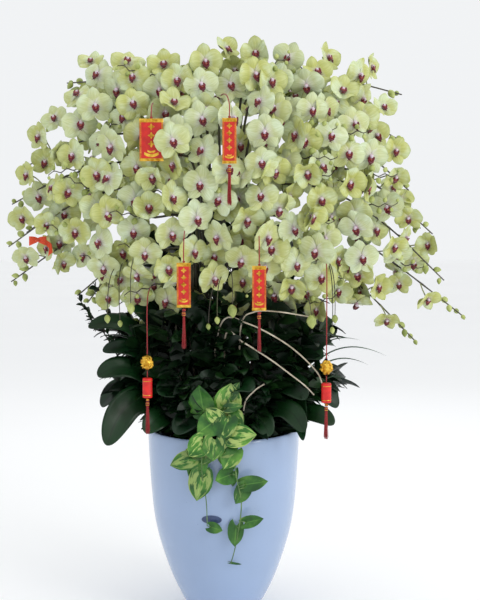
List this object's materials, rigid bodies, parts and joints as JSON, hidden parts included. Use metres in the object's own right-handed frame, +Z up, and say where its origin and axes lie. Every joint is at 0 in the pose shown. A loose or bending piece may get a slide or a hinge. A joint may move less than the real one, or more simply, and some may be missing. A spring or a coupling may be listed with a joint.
{
  "type": "potted moth orchid display",
  "caption": "Tall white tapered pot planted with arching moth-orchid spikes in full pale yellow bloom, dark foliage, a trailing pothos and hanging red and gold charms.",
  "frame": {"origin": "centre of the pot's flat base, on the surface it stands on", "axes": "+Z up through the pot's centre; -Y the front of the display; +X to the right as seen from the front"},
  "size_m": [1.1436, 0.6198, 1.405],
  "materials": {
    "glaze": "smooth white glaze",
    "bark": "chipped bark",
    "flower": "soft waxy petals, pale yellow-green with burgundy lips",
    "cane": "pale dry cane",
    "pothos": "waxy heart-shaped leaves, variegated",
    "orchid_leaf": "thick glossy strap leaves",
    "grass": "thin blades",
    "shrub_leaf": "small dark leaves on woody twigs",
    "red_string": "twisted thread",
    "red_card": "red card with printed gold borders",
    "red_paper": "wrapped red paper",
    "gold": "gilded",
    "ribbon": "orange-red ribbon"
  },
  "bodies": {
    "root": {"pot": "glaze", "growing_medium": "bark", "flower_spike_01": "flower", "flower_spike_02": "flower", "flower_spike_03": "flower", "flower_spike_04": "flower", "flower_spike_05": "flower", "flower_spike_06": "flower", "flower_spike_07": "flower", "flower_spike_08": "flower", "flower_spike_09": "flower", "flower_spike_10": "flower", "flower_spike_11": "flower", "flower_spike_12": "flower", "flower_spike_13": "flower", "flower_spike_14": "flower", "flower_spike_15": "flower", "flower_spike_16": "flower", "flower_spike_17": "flower", "flower_spike_18": "flower", "flower_spike_19": "flower", "flower_spike_20": "flower", "flower_spike_21": "flower", "flower_spike_22": "flower", "flower_spike_23": "flower", "flower_spike_24": "flower", "arching_cane_1": "cane", "arching_cane_2": "cane", "arching_cane_3": "cane", "arching_cane_4": "cane", "pothos_vine_1": "pothos", "pothos_vine_2": "pothos", "pothos_vine_3": "pothos", "orchid_leaves_left": "orchid_leaf", "orchid_leaves_front": "orchid_leaf", "orchid_leaves_right": "orchid_leaf", "orchid_leaves_back": "orchid_leaf", "grass_tuft": "grass", "filler_shrub_left": "shrub_leaf", "filler_shrub_right": "shrub_leaf", "banner_1_cord": "red_string", "banner_1_card": "red_card", "banner_1_tassel": "red_string", "banner_2_cord": "red_string", "banner_2_card": "red_card", "banner_2_tassel": "red_string", "banner_3_cord": "red_string", "banner_3_card": "red_card", "banner_3_tassel": "red_string", "envelope_cord": "red_string", "envelope_card": "red_card", "charm_left_cord": "red_string", "charm_left_nugget": "gold", "charm_left_firecracker": "red_paper", "charm_left_tassel": "red_string", "charm_right_cord": "red_string", "charm_right_nugget": "gold", "charm_right_firecracker": "red_paper", "charm_right_tassel": "red_string", "ribbon_bow": "ribbon"}
  },
  "joints": []
}
